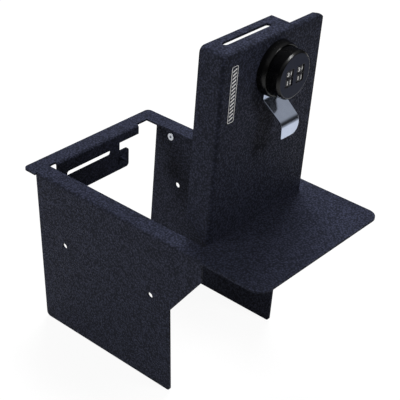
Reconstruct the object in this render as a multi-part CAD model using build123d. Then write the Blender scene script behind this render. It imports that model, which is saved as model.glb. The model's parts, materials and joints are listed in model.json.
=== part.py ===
# Console safe: a folded steel box that drops into a vehicle console, with a hinged lid and
# a combination knob. Sizes are in millimetres.
# X runs from the latch end to the hinge end, Y from the near wall to the far wall, Z up.
# The origin is on the floor, under the centre of the top plate.
# The lid and its lock are drawn closed, then swung about the hinge to the open stop, which
# is the pose at rest.
from build123d import *
from math import cos, radians, sin, tan
import os

# Sheet steel of the body and the lid
sheet = 1.9
fold_radius = 1.0  # inside radius of every fold

# Top plate
plate_length = 256.0
plate_width = 152.0
body_height = 151.0  # floor to the top of the plate
latch_corner_radius = 4.5
shelf_corner_radius = 10.5

# Side walls: the near one is folded down from the plate, the far one is set under its edge
ear_length = 14.6  # plate that stands out past the walls at the latch end
wall_inset = 1.3  # plate's edge to the wall's outer face, at the top
wall_lean = 2.84  # degrees inward on the way down
foot_length = 149.3
wall_top_length = 182.7
shoulder_low_drop = 65.4  # plate's top to the foot of the sloped shoulder
shoulder_high_drop = 20.0  # plate's top to the head of the sloped shoulder
foot_latch_radius = 4.0
foot_hinge_radius = 3.0

# Bolt holes in the side walls
bolt_hole_diameter = 5.5
bolt_spacing = 98.9
bolt_setback = 29.8  # wall's latch edge to the first hole
bolt_drop = 60.8  # plate's top to the holes

# Opening in the plate
keeper_setback = 15.6  # plate's latch end to the keeper's inner face
opening_length = 171.0  # keeper's inner face to the shelf
opening_near_margin = 17.2  # plate's near edge to the opening
opening_width = 119.6

# Keeper: the tab that is bent down at the opening's latch edge
keeper_margin = 7.5  # opening's near edge to the keeper
keeper_flange_width = 98.8
keeper_flange_depth = 9.2
keeper_bar_width = 86.2
keeper_bar_top = 18.0  # plate's top to the top of the lower bar
keeper_depth = 36.8
keeper_web_end = 74.4  # keeper's near end to the far side of the web
keeper_corner_radius = 3.0
keeper_slot_depth = 15.0  # plate's top to the middle of the slot

# Lid
lid_near_gap = 3.6
lid_far_gap = 0.6
lid_front_gap = 4.1
lid_depth = 22.8
front_wall_width = 81.0
wing_lip_depth = 5.8  # short fold along the front of the wing
wing_cut_across = 6.2  # far edge to the corner cut, at the bottom of the lip
wing_cut_along = 3.4  # front wall's outside to the corner cut, on the face
lid_rear_to_axis = 2.5
side_wall_foot_setback = 4.05  # hinge axis to the side wall's foot, at the face
side_wall_foot_cut = 14.5
side_wall_foot_radius = 2.0
lid_corner_radius = 2.0  # ground corner of the side and front walls
open_past_vertical = 2.14  # degrees, where the lid's face rests on the shelf edge
stop_gap = 0.3

# Rest pins that carry the lid's front wall
rest_pin_diameter = 3.0
rest_pin_tail = 0.6  # left standing at the back of the bar
rest_pin_reach = 0.8  # past the inside of the lid's front wall
rest_pin_gap = 0.2
rest_pin_inset = 1.9  # from the front wall's far end
rest_pin_margin = 8.0  # from the keeper's near end

# Blind rivet in the far wall
rivet_setback = 18.6  # wall's latch edge to the rivet
rivet_drop = 14.6
rivet_shank_diameter = 4.0
rivet_bore_diameter = 2.2
rivet_head_diameter = 7.0
rivet_head_height = 1.1
rivet_bulb_diameter = 5.8
rivet_bulb_length = 1.8

# Continuous hinge
hinge_pin_diameter = 2.0
leaf_thickness = 1.0
leaf_width = 14.0
knuckle_count = 5
knuckle_gap = 0.3
hinge_length = 107.0
hinge_margin = 4.2  # outer face of the lid's side wall to the hinge
leaf_notch_clearance = 0.45
hinge_pin_clearance = 0.05
hinge_pin_overhang = 0.5

# Lock housing
lock_front_setback = 27.8  # outside of the lid's front wall to the lock's axis
lock_side_setback = 61.2  # outside of the lid's side wall to the lock's axis
ring_diameter = 44.0
ring_top_diameter = 41.0
ring_height = 7.0
ring_shoulder = 4.4  # lid's face to the top of the shoulder
ring_shoulder_diameter = 43.0
ring_floor = 4.5  # lid's face to the floor of the knob's seat
barrel_diameter = 19.0
barrel_flats = 16.0
barrel_clearance = 0.1
barrel_to_cam = 0.3

# Square washer and nut that clamp the housing
lock_washer_width = 26.0
lock_washer_thickness = 1.0
lock_nut_flats = 24.0
lock_nut_height = 4.5
thread_clearance = 0.05

# Knob
knob_diameter = 38.4
knob_height = 18.2  # lid's face to the knob's face
knob_bevel = 1.6
knob_wall = 1.6
knob_face_thickness = 1.2
knob_running_gap = 0.3
knob_base_thickness = 1.2
knob_base_clearance = 0.1
stem_diameter = 13.0
stem_clearance = 0.05

# Number wheels
dial_diameter = 11.7  # over the corners
dial_width = 5.6
dial_digits = 10
dial_half_spacing = 6.4  # knob's axis to each axle
dial_pitch = 7.0  # between the two rows
dial_proud = 0.35  # wheel's rim above the knob's face
axle_diameter = 1.8
axle_clearance = 0.05
dial_side_gap = 0.3
post_thickness = 2.3
post_width = 19.0
post_above_axle = 1.9
window_width = 8.4
window_margin = 0.3

# Cam, its washer and its screw
cam_depth = 13.4  # lid's outer face to the near face of the cam
cam_thickness = 2.0
cam_width = 12.0
cam_reach = 38.0
cam_tip_radius = 2.5
square_size = 7.0
square_clearance = 0.1
square_recess = 0.2  # square tail ends this far inside the cam
slot_height = 4.8
slot_end_clearance = 0.6
lid_slot_depth = 13.9  # lid's outer face to the middle of its slot
slot_sweep = 46.4  # lock's axis to the slot's near end
cam_washer_diameter = 12.0
cam_washer_thickness = 1.0
cam_screw_diameter = 4.0
cam_screw_head_diameter = 7.6
cam_screw_head_height = 2.5
cam_screw_length = 7.0
cam_screw_clearance = 0.05

# Finger pull clamped under the lock housing
pull_thickness = 1.2
pull_width = 22.8
pull_waist_width = 20.6  # across the second bend
pull_lip_near = 9.6  # lock's axis to the lip's near corner, across the pull
pull_lip_far = 11.2
pull_end_reach = 13.5  # lock's axis to the end that is clamped
pull_seat_clearance = 0.2
pull_flat_reach = 23.2  # lock's axis to the first bend
pull_bend_reach = 37.0  # lock's axis to the second bend
pull_lip_reach = 49.5  # lock's axis to the end of the lip
pull_height = 19.7  # lid's face to the outside of the lip
pull_bend_radius = 2.5
pull_lip_bend_radius = 7.0
pull_lip_near_radius = 0.8
pull_lip_far_radius = 7.0

# Places that follow from the sizes above
fold_outer = fold_radius + sheet
latch_x = -plate_length / 2
near_y = -plate_width / 2
wall_x = latch_x + ear_length
wall_end_x = wall_x + wall_top_length
keeper_x = latch_x + keeper_setback
opening_end_x = keeper_x + opening_length
opening_near_y = near_y + opening_near_margin
opening_far_y = opening_near_y + opening_width
keeper_near_y = opening_near_y + keeper_margin
knuckle_radius = hinge_pin_diameter / 2 + leaf_thickness
face_to_axis = sheet + knuckle_radius
hinge_z = body_height - face_to_axis
stop_lean = radians(open_past_vertical)
hinge_x = opening_end_x - stop_gap - face_to_axis * (1 + sin(stop_lean)) / cos(stop_lean)
lid_near_y = opening_near_y + lid_near_gap
lid_far_y = opening_far_y - lid_far_gap
lid_front_x = keeper_x + lid_front_gap
front_wall_end_y = lid_near_y + front_wall_width
lid_rear_x = hinge_x - lid_rear_to_axis
hinge_near_y = lid_near_y + hinge_margin
lock_x = lid_front_x + lock_front_setback
lock_y = lid_near_y + lock_side_setback
slot_near_y = lock_y - slot_sweep
slot_far_y = lock_y + cam_width / 2 + slot_end_clearance
axle_height = knob_height + dial_proud - dial_diameter / 2
dial_rows = [-dial_pitch / 2, dial_pitch / 2]
hinge_line = Axis((hinge_x, 0, hinge_z), (0, 1, 0))


def wall_half(level):
    """Half the width over the side walls at a height above the floor."""
    lean_in = (body_height - level) * tan(radians(wall_lean))
    return plate_width / 2 - wall_inset - lean_in


def block(low, high):
    """Solid box between two opposite corners."""
    size = [high[i] - low[i] for i in range(3)]
    middle = [(high[i] + low[i]) / 2 for i in range(3)]
    return Pos(*middle) * Box(*size)


def upright(profile, low, high):
    """Profile drawn in X and Y, carried from one height to another."""
    return Pos(0, 0, low) * extrude(profile, high - low, dir=(0, 0, 1))


def along_x(profile, start, end):
    """Profile drawn in Y and Z, carried from one X to another."""
    return Pos(start, 0, 0) * extrude(Plane.YZ * profile, end - start, dir=(1, 0, 0))


def along_y(profile, start, end):
    """Profile drawn in X and Z, carried from one Y to another."""
    return Pos(0, start, 0) * extrude(Plane.XZ * profile, end - start, dir=(0, 1, 0))


def disc(diameter, low, high):
    """Upright cylinder about the local axis, between two heights."""
    return upright(Circle(diameter / 2), low, high)


def on_lock(shape):
    """Place a lock piece on the closed lid."""
    return Pos(lock_x, lock_y, body_height) * shape


def opened(shape):
    """Swing a piece of the closed lid to the open stop."""
    return shape.rotate(hinge_line, 90 + open_past_vertical)


def cam_slot(low_x, high_x, depth):
    """Cutter for a slot that the cam passes through, its middle at a depth under the plate."""
    outline = SlotOverall(slot_far_y - slot_near_y, slot_height)
    middle = Pos((slot_near_y + slot_far_y) / 2, body_height - depth)
    return along_x(middle * outline, low_x, high_x)


# Console body


def folded_walls():
    """Both side walls with the strip of plate that joins them, as one folded channel."""
    skin = sheet / cos(radians(wall_lean))
    under = body_height - sheet
    outer = Polygon(
        (-wall_half(0), 0),
        (-wall_half(body_height), body_height),
        (wall_half(body_height), body_height),
        (wall_half(0), 0),
        align=None,
    )
    outer = fillet(outer.vertices().group_by(Axis.Y)[-1], fold_outer)
    below = -sheet
    inner = Polygon(
        (skin - wall_half(below), below),
        (skin - wall_half(under), under),
        (wall_half(under) - skin, under),
        (wall_half(below) - skin, below),
        align=None,
    )
    inner = fillet(inner.vertices().group_by(Axis.Y)[-1], fold_radius)
    channel = along_x(outer - inner, wall_x, wall_end_x)
    foot_x = wall_x + foot_length
    outline = Polygon(
        (wall_x, 0),
        (foot_x, 0),
        (foot_x, body_height - shoulder_low_drop),
        (wall_end_x, body_height - shoulder_high_drop),
        (wall_end_x, body_height),
        (wall_x, body_height),
        align=None,
    )
    feet = outline.vertices().group_by(Axis.Y)[0].sort_by(Axis.X)
    outline = fillet(feet[0], foot_latch_radius)
    feet = outline.vertices().filter_by_position(Axis.X, foot_x - 0.01, foot_x + 0.01)
    outline = fillet(feet.sort_by(Axis.Y)[0], foot_hinge_radius)
    return channel & along_y(outline, -plate_width / 2, plate_width / 2)


def top_plate():
    """Flat plate, narrowed where the near side wall is folded down."""
    outline = Rectangle(plate_length, plate_width)
    outline = fillet(outline.vertices().group_by(Axis.X)[0], latch_corner_radius)
    outline = fillet(outline.vertices().group_by(Axis.X)[-1], shelf_corner_radius)
    fold_start = wall_half(body_height) - 2 * fold_outer
    strip = plate_width / 2 - fold_start + 1
    middle = Pos(wall_x + wall_top_length / 2, -fold_start - strip / 2)
    outline -= middle * Rectangle(wall_top_length, strip)
    return upright(outline, body_height - sheet, body_height)


def plate_opening():
    """Cutter for the opening, from the line where the keeper's fold starts to the shelf."""
    low = body_height - 2 * sheet
    high = body_height + sheet
    start_x = keeper_x - fold_outer
    return block((start_x, opening_near_y, low), (opening_end_x, opening_far_y, high))


def keeper():
    """Tab bent down at the latch edge: flange, web, lower bar, cam slot and side notch."""
    top = body_height
    back_x = keeper_x - sheet
    start_x = keeper_x - 2 * fold_outer
    low = top - keeper_depth
    angle = Polygon(
        (start_x, top),
        (keeper_x, top),
        (keeper_x, low),
        (back_x, low),
        (back_x, top - sheet),
        (start_x, top - sheet),
        align=None,
    )
    crown = angle.vertices().filter_by_position(Axis.X, keeper_x - 0.01, keeper_x + 0.01)
    angle = fillet(crown.sort_by(Axis.Y)[-1], fold_outer)
    root = angle.vertices().filter_by_position(Axis.X, back_x - 0.01, back_x + 0.01)
    angle = fillet(root.sort_by(Axis.Y)[-1], fold_radius)
    tab = along_y(angle, keeper_near_y, keeper_near_y + keeper_flange_width)
    flange = Pos(keeper_flange_width / 2, -keeper_flange_depth / 2) * Rectangle(
        keeper_flange_width, keeper_flange_depth
    )
    web = Pos(keeper_web_end / 2, -keeper_depth / 2) * Rectangle(keeper_web_end, keeper_depth)
    bar_height = keeper_depth - keeper_bar_top
    bar = Pos(keeper_bar_width / 2, -keeper_bar_top - bar_height / 2) * Rectangle(
        keeper_bar_width, bar_height
    )
    bar = fillet(bar.vertices(), keeper_corner_radius)
    web_low = Pos(keeper_corner_radius, keeper_corner_radius - keeper_depth)
    web -= Pos(0, -keeper_depth) * Rectangle(2 * keeper_corner_radius, 2 * keeper_corner_radius)
    web += web_low * Circle(keeper_corner_radius)
    outline = Pos(keeper_near_y, top) * (flange + web + bar)
    kept = along_x(outline, start_x, keeper_x)
    return (tab & kept) - cam_slot(back_x - sheet, keeper_x + sheet, keeper_slot_depth)


def rivet_place():
    """Frame on the inner face of the far wall, its Z axis along the wall's inward normal."""
    level = body_height - rivet_drop
    inner_y = wall_half(level) - sheet / cos(radians(wall_lean))
    return Pos(wall_x + rivet_setback, inner_y, level) * Rot(90 - wall_lean, 0, 0)


def bolt_holes():
    """Cutters for the two holes that pass through both side walls."""
    cutter = Part()
    for step in range(2):
        middle = Pos(wall_x + bolt_setback + step * bolt_spacing, body_height - bolt_drop)
        hole = middle * Circle(bolt_hole_diameter / 2)
        cutter += along_y(hole, -plate_width / 2, plate_width / 2)
    return cutter


def rest_pin_places():
    """Centres of the two rest pins in the keeper's lower bar, as Y values."""
    return [keeper_near_y + rest_pin_margin, front_wall_end_y - rest_pin_inset]


def rest_pin_level():
    """Height of the rest pins, just under the closed lid's front wall."""
    return body_height - lid_depth - rest_pin_gap - rest_pin_diameter / 2


def console_body():
    body = folded_walls() + top_plate()
    body -= plate_opening()
    body += keeper()
    body -= bolt_holes()
    hole = disc(rivet_shank_diameter + 2 * thread_clearance, -2 * sheet, sheet)
    body -= rivet_place() * hole
    for y in rest_pin_places():
        hole = Pos(y, rest_pin_level()) * Circle(rest_pin_diameter / 2)
        body -= along_x(hole, keeper_x - 2 * sheet, keeper_x + sheet)
    return body


def lid_rest_pins():
    """Pins pressed through the lower bar, under the lid's front wall."""
    start_x = keeper_x - sheet - rest_pin_tail
    end_x = lid_front_x + sheet + rest_pin_reach
    pins = []
    for y in rest_pin_places():
        section = Pos(y, rest_pin_level()) * Circle(rest_pin_diameter / 2)
        pins.append(along_x(section, start_x, end_x))
    return pins


def far_wall_rivet():
    """Blind rivet: head inside with the pulled stem's hole in it, bulb outside."""
    rivet = disc(rivet_shank_diameter, -sheet, 0)
    rivet += disc(rivet_head_diameter, 0, rivet_head_height)
    rivet += disc(rivet_bulb_diameter, -sheet - rivet_bulb_length, -sheet)
    rivet -= disc(rivet_bore_diameter, -sheet, rivet_head_height * 2)
    return rivet_place() * rivet


# Hinge


def knuckle_spans(first):
    """Start and end in Y of every second knuckle, from the first one named."""
    step = hinge_length / knuckle_count
    spans = []
    for index in range(first, knuckle_count, 2):
        start = hinge_near_y + index * step
        spans.append((start + knuckle_gap / 2, start + step - knuckle_gap / 2))
    return spans


def hinge_leaf(side, first):
    """Leaf with its own knuckles rolled from the same strip; side is its direction in X."""
    notch = knuckle_radius + leaf_notch_clearance
    under = knuckle_radius - leaf_thickness
    end = knuckle_radius + leaf_width
    low_y = hinge_near_y + knuckle_gap / 2
    high_y = hinge_near_y + hinge_length - knuckle_gap / 2
    edges = sorted((side * notch, side * end))
    leaf = block((edges[0], low_y, under), (edges[1], high_y, knuckle_radius))
    for start, end_y in knuckle_spans(first):
        tongue = sorted((0, side * (notch + leaf_thickness)))
        leaf += along_y(Circle(knuckle_radius), start, end_y)
        leaf += block((tongue[0], start, under), (tongue[1], end_y, knuckle_radius))
    bore = Circle(hinge_pin_diameter / 2 + hinge_pin_clearance)
    leaf -= along_y(bore, hinge_near_y, hinge_near_y + hinge_length)
    return Pos(hinge_x, 0, hinge_z) * leaf


def hinge_pin():
    start = hinge_near_y - hinge_pin_overhang
    end = hinge_near_y + hinge_length + hinge_pin_overhang
    pin = along_y(Circle(hinge_pin_diameter / 2), start, end)
    return Pos(hinge_x, 0, hinge_z) * pin


# Lid


def lid_tray():
    """Face with the side and front edges folded down, the corner between them ground round."""
    rear_x = lid_rear_x + lid_depth
    far_y = lid_far_y + lid_depth
    low = body_height - lid_depth

    def tray_solid(inset, drop, fold, corner):
        solid = block(
            (lid_front_x + inset, lid_near_y + inset, low - drop),
            (rear_x, far_y, body_height - inset),
        )
        upright = solid.edges().filter_by(Axis.Z).sort_by(Axis.X)[:2].sort_by(Axis.Y)[0]
        solid = fillet(upright, corner)
        top = solid.faces().sort_by(Axis.Z)[-1]
        rim = top.edges().filter_by(lambda edge: near_or_front(edge, inset))
        return fillet(rim, fold)

    def near_or_front(edge, inset):
        middle = edge.center()
        on_front = middle.X < lid_front_x + inset + fold_outer
        on_near = middle.Y < lid_near_y + inset + fold_outer
        return on_front or on_near

    outer = tray_solid(0, 0, fold_outer, fold_outer + lid_corner_radius)
    inner = tray_solid(sheet, sheet, fold_radius, fold_radius + lid_corner_radius)
    return outer - inner


def side_wall_outline():
    """Side view of the folded part of the lid, with the oblique cut at its foot."""
    low = body_height - lid_depth
    foot_x = hinge_x - side_wall_foot_setback
    under = body_height - sheet
    outline = Polygon(
        (lid_front_x, low),
        (foot_x - side_wall_foot_cut, low),
        (foot_x, under),
        (lid_rear_x, under),
        (lid_rear_x, body_height),
        (lid_front_x, body_height),
        align=None,
    )
    heel = outline.vertices().group_by(Axis.Y)[0].sort_by(Axis.X)[-1]
    return fillet(heel, side_wall_foot_radius)


def wing_space():
    """Room that the wing and its lip take up: past the front wall, less the cut corner."""
    low = body_height - wing_lip_depth
    space = block((lid_front_x, front_wall_end_y, low), (lid_rear_x, lid_far_y, body_height))
    across = wing_cut_across * (wing_cut_along + wing_lip_depth)
    tilt = Vector(-wing_cut_across, wing_cut_along + wing_lip_depth, -wing_cut_across)
    start = Vector(lid_front_x, lid_far_y - wing_cut_across, low)
    reach = 4 * wing_lip_depth
    cutter = Plane(origin=start, z_dir=tilt) * Pos(0, 0, reach / 2) * Box(
        across, across, reach
    )
    return space - cutter


def lock_hole():
    """Cutter for the hole with two flats that stops the lock housing from turning."""
    hole = Circle(barrel_diameter / 2 + barrel_clearance)
    flats = Rectangle(2 * barrel_diameter, barrel_flats + 2 * barrel_clearance)
    return on_lock(upright(hole & flats, -2 * sheet, sheet))


def lid_shell():
    room = along_y(side_wall_outline(), lid_near_y, front_wall_end_y) + wing_space()
    shell = lid_tray() & room
    shell -= cam_slot(lid_front_x - sheet, lid_front_x + 2 * sheet, lid_slot_depth)
    return opened(shell - lock_hole())


# Lock housing and what clamps it


def lock_housing():
    """Round base ring with the knob's seat, the pull's seat and the flatted barrel."""
    radius = ring_diameter / 2
    barrel_end = cam_depth - barrel_to_cam
    side = Polygon(
        (0, 0),
        (radius, 0),
        (ring_shoulder_diameter / 2, ring_shoulder),
        (ring_top_diameter / 2, ring_height),
        (0, ring_height),
        align=None,
    )
    housing = revolve(Plane.XZ * side, Axis.Z)
    housing -= disc(knob_diameter + 2 * knob_running_gap, ring_floor, 2 * ring_height)
    barrel = Circle(barrel_diameter / 2) & Rectangle(2 * barrel_diameter, barrel_flats)
    housing += upright(barrel, -barrel_end, ring_floor / 2)
    seat = pull_plan(pull_seat_clearance)
    seat -= Circle(barrel_diameter / 2) & Rectangle(2 * barrel_diameter, barrel_flats)
    housing -= upright(seat, 0, pull_thickness + thread_clearance)
    housing -= disc(stem_diameter + 2 * stem_clearance, -2 * barrel_end, 2 * ring_height)
    return opened(on_lock(housing))


def lock_washer():
    square = Rectangle(lock_washer_width, lock_washer_width)
    washer = upright(square, -sheet - lock_washer_thickness, -sheet)
    washer -= disc(barrel_diameter + 2 * thread_clearance, -lid_depth, 0)
    return opened(on_lock(washer))


def lock_nut():
    top = -sheet - lock_washer_thickness
    hexagon = RegularPolygon(lock_nut_flats / 2, 6, major_radius=False)
    nut = upright(hexagon, top - lock_nut_height, top)
    nut -= disc(barrel_diameter + 2 * thread_clearance, -lid_depth, 0)
    return opened(on_lock(nut))


# Finger pull


def pull_plan(grow):
    """Plan of the pull: square end about the barrel, then a waisted tongue to the lip."""
    half = pull_width / 2 + grow
    waist = pull_waist_width / 2 + grow
    tongue = Polygon(
        (-pull_end_reach - grow, -half),
        (pull_flat_reach, -half),
        (pull_bend_reach, -waist),
        (pull_lip_reach, -pull_lip_near - grow),
        (pull_lip_reach, pull_lip_far + grow),
        (pull_bend_reach, waist),
        (pull_flat_reach, half),
        (-pull_end_reach - grow, half),
        align=None,
    )
    ends = tongue.vertices().group_by(Axis.X)[-1].sort_by(Axis.Y)
    tongue = fillet(ends[0], pull_lip_near_radius)
    ends = tongue.vertices().filter_by_position(Axis.X, pull_lip_reach - 0.01, pull_lip_reach + 0.01)
    return fillet(ends.sort_by(Axis.Y)[-1], pull_lip_far_radius)


def finger_pull():
    """Strip bent out from the lid to a lip, its flat end clamped round the barrel."""
    strip = along_y(bent_strip(), -pull_width, pull_width)
    pull = strip & upright(pull_plan(0), -pull_thickness, pull_height + pull_thickness)
    hole = Circle(barrel_diameter / 2 + barrel_clearance)
    flats = Rectangle(2 * barrel_diameter, barrel_flats + 2 * barrel_clearance)
    pull -= upright(hole & flats, -pull_thickness, 2 * pull_thickness)
    return opened(on_lock(pull))


def bent_strip():
    """Side view of the pull as a closed outline of even thickness."""
    middle = pull_thickness / 2
    line = FilletPolyline(
        (-pull_end_reach, middle),
        (pull_flat_reach, middle),
        (pull_bend_reach, pull_height - middle),
        (pull_lip_reach, pull_height - middle),
        radius=[pull_bend_radius, pull_lip_bend_radius],
    )
    return trace(line, pull_thickness)


# Knob and what turns with it


def knob_base():
    """Disc with the axle posts above it, the stem below it and the square tail for the cam."""
    low = ring_floor + knob_running_gap
    high = low + knob_base_thickness
    radius = knob_diameter / 2 - knob_wall - knob_base_clearance
    base = disc(2 * radius, low, high)
    post_top = axle_height + post_above_axle
    wheel_end = dial_pitch / 2 + dial_width / 2 + dial_side_gap
    middle_half = (dial_pitch - dial_width) / 2 - dial_side_gap
    half = post_width / 2
    for side in (-1, 1):
        inner = side * wheel_end
        outer = inner + side * post_thickness
        ends = sorted((inner, outer))
        base += block((ends[0], -half, low), (ends[1], half, post_top))
    base += block((-middle_half, -half, low), (middle_half, half, post_top))
    base += disc(stem_diameter, -cam_depth, low)
    tail = Rectangle(square_size, square_size)
    base += upright(tail, -cam_depth - cam_thickness + square_recess, -cam_depth)
    base -= disc(cam_screw_diameter + 2 * cam_screw_clearance, -2 * cam_depth, 1 - cam_depth / 2)
    for y in (-dial_half_spacing, dial_half_spacing):
        bore = Pos(y, axle_height) * Circle(axle_diameter / 2 + axle_clearance)
        base -= along_x(bore, -knob_diameter, knob_diameter)
    return opened(on_lock(base))


def knob_cap():
    """Turned cap with a bevelled rim and one window over each number wheel."""
    low = ring_floor + knob_running_gap
    cap = disc(knob_diameter, low, knob_height)
    cap = chamfer(cap.edges().group_by(Axis.Z)[-1], knob_bevel)
    cap -= disc(knob_diameter - 2 * knob_wall, 0, knob_height - knob_face_thickness)
    window = Rectangle(dial_width + 2 * window_margin, window_width)
    for x in dial_rows:
        for y in (-dial_half_spacing, dial_half_spacing):
            cap -= Pos(x, y, 0) * upright(window, low, 2 * knob_height)
    return opened(on_lock(cap))


def number_wheel(row, side):
    """Ten-sided wheel with a number's flat on each side and a corner between to grip."""
    turn = 360 / dial_digits
    rim = RegularPolygon(dial_diameter / 2, dial_digits, rotation=turn / 2)
    rim -= Circle(axle_diameter / 2 + axle_clearance)
    wheel = along_x(rim, -dial_width / 2, dial_width / 2)
    place = Pos(dial_rows[row], side * dial_half_spacing, axle_height)
    return opened(on_lock(place * wheel))


def dial_axle(side):
    half = dial_pitch / 2 + dial_width / 2 + dial_side_gap + post_thickness
    pin = along_x(Circle(axle_diameter / 2), -half, half)
    return opened(on_lock(Pos(0, side * dial_half_spacing, axle_height) * pin))


def cam():
    """Locking tongue on the square tail, pointing along the lid's front wall when unlocked."""
    half = cam_width / 2
    tongue = Pos(0, -cam_reach / 2) * Rectangle(cam_width, cam_reach)
    tongue = fillet(tongue.vertices().group_by(Axis.Y)[0], cam_tip_radius)
    outline = tongue + Circle(half)
    outline -= Rectangle(square_size + 2 * square_clearance, square_size + 2 * square_clearance)
    return opened(on_lock(upright(outline, -cam_depth - cam_thickness, -cam_depth)))


def cam_washer():
    low = -cam_depth - cam_thickness - cam_washer_thickness
    washer = disc(cam_washer_diameter, low, low + cam_washer_thickness)
    washer -= disc(cam_screw_diameter + 4 * cam_screw_clearance, 2 * low, 0)
    return opened(on_lock(washer))


def cam_screw():
    """Pan-head screw up into the square tail."""
    seat = -cam_depth - cam_thickness - cam_washer_thickness
    head = disc(cam_screw_head_diameter, seat - cam_screw_head_height, seat)
    recess = RegularPolygon(cam_screw_diameter / 2, 6)
    head -= upright(recess, seat - 2 * cam_screw_head_height, seat - cam_screw_head_height / 2)
    shank = disc(cam_screw_diameter, seat, seat + cam_screw_length)
    return opened(on_lock(head + shank))


def save(name, pieces):
    """Write one node: a single solid or a group of alike solids."""
    group = pieces if isinstance(pieces, list) else [pieces]
    solids = []
    for piece in group:
        solids.extend(piece.solids())
    shape = solids[0] if len(solids) == 1 else Compound(solids)
    export_step(shape, f"parts/{name}.step")


def main():
    os.makedirs("parts", exist_ok=True)
    save("console_body", console_body())
    save("lid_rest_pins", lid_rest_pins())
    save("far_wall_rivet", far_wall_rivet())
    save("hinge_leaf_body", hinge_leaf(1, 0))
    save("hinge_pin", hinge_pin())
    save("hinge_leaf_lid", opened(hinge_leaf(-1, 1)))
    save("lid_shell", lid_shell())
    save("lock_housing", lock_housing())
    save("lock_washer", lock_washer())
    save("lock_nut", lock_nut())
    save("finger_pull", finger_pull())
    save("knob_base", knob_base())
    save("knob_cap", knob_cap())
    save("number_wheel_upper_left", number_wheel(0, -1))
    save("number_wheel_upper_right", number_wheel(0, 1))
    save("number_wheel_lower_left", number_wheel(1, -1))
    save("number_wheel_lower_right", number_wheel(1, 1))
    save("dial_axle_left", dial_axle(-1))
    save("dial_axle_right", dial_axle(1))
    save("cam", cam())
    save("cam_washer", cam_washer())
    save("cam_screw", cam_screw())


main()
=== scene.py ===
"""Console safe dressed for the camera.

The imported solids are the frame. Each sub-assembly below takes its own nodes, works them up
(merged faces, softened edges, threads, weld spots, numbers) and gives them their finish.
Lengths in the dataclasses are in millimetres, but for the studio's, which are in metres.
"""

import json
import logging
import math
from dataclasses import dataclass, field
from enum import Enum
from typing import Callable, Optional

import bmesh
import bpy
from mathutils import Matrix, Vector

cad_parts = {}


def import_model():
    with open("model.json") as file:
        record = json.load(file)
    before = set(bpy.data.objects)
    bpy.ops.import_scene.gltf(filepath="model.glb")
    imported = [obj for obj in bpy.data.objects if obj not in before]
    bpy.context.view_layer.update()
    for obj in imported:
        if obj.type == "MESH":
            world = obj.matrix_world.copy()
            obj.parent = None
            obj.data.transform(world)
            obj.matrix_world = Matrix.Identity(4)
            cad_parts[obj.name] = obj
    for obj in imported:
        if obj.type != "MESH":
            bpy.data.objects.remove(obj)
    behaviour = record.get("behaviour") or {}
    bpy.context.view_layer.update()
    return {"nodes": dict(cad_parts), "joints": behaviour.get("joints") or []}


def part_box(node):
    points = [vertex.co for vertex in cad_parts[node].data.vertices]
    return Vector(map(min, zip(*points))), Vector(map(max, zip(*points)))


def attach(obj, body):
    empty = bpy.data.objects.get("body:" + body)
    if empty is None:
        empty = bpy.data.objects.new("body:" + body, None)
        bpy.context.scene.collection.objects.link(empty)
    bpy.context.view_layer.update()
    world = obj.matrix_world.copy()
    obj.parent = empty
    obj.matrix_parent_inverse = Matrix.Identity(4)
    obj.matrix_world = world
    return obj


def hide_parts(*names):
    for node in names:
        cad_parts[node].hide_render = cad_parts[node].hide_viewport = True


LOG = logging.getLogger("console_safe")
MM = 0.001
Colour = tuple[float, float, float, float]
Point = tuple[float, float]
Place = tuple[float, float, float]

# The sRGB curve: a straight toe, then a power.
SRGB_TOE = 0.04045
SRGB_TOE_SLOPE = 12.92
SRGB_OFFSET = 0.055
SRGB_POWER = 2.4

# Sockets of the Mix node that share a name with others, by their place in it.
MIX_SHARE = "#0"
MIX_COLOUR_LOW, MIX_COLOUR_HIGH, MIX_COLOUR_OUT = "#6", "#7", 2
MIX_VALUE_LOW, MIX_VALUE_HIGH = "#2", "#3"

# A noise texture's grains are about half as wide as its cell.
CELL_OVER_GRAIN = 2

# Points closer than this are one point, in metres.
SOLID_MERGE = 0.002 * MM
SEAM_MERGE = 0.001 * MM
# Angles in degrees: faces that lie in one plane, edges that stay smooth, and edges that are
# rounded, with the steps across each rounded edge.
FLAT_WITHIN = 0.4
SOLID_SMOOTH_BELOW = 28
LATHE_SMOOTH_BELOW = 40
SOFTEN_ABOVE = 35
SOFTEN_STEPS = 2

# The least cosine that a length is divided by.
LEAST_COSINE = 0.01
# Past this cosine, a face looks straight out of the lid.
STRAIGHT_OUT = 0.99


def to_linear(hex_colour: str) -> Colour:
    """Turn an sRGB hex colour into linear values.

    Args:
        hex_colour: Six hex digits with a leading hash.

    Returns:
        Red, green, blue and alpha for a shader socket.
    """
    channels = []
    for start in (1, 3, 5):
        value = int(hex_colour[start : start + 2], 16) / 255
        if value <= SRGB_TOE:
            channels.append(value / SRGB_TOE_SLOPE)
        else:
            channels.append(((value + SRGB_OFFSET) / (1 + SRGB_OFFSET)) ** SRGB_POWER)
    return (channels[0], channels[1], channels[2], 1.0)


def add_node(
    tree: bpy.types.NodeTree,
    kind: str,
    settings: Optional[dict[str, object]] = None,
    links: Optional[dict[str, bpy.types.NodeSocket]] = None,
) -> bpy.types.Node:
    """Add one node, set its attributes and socket values, and link its inputs.

    Args:
        tree: The tree that the node goes into.
        kind: The node's type name.
        settings: Attribute or input names with their values.
        links: Input names with the sockets that feed them.

    Returns:
        The new node.
    """
    node = tree.nodes.new(kind)
    for name, value in (settings or {}).items():
        if name in node.inputs:
            node.inputs[name].default_value = value
        elif name.startswith("#"):
            node.inputs[int(name[1:])].default_value = value
        else:
            setattr(node, name, value)
    for name, socket in (links or {}).items():
        target = node.inputs[int(name[1:])] if name.startswith("#") else node.inputs[name]
        tree.links.new(socket, target)
    return node


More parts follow.
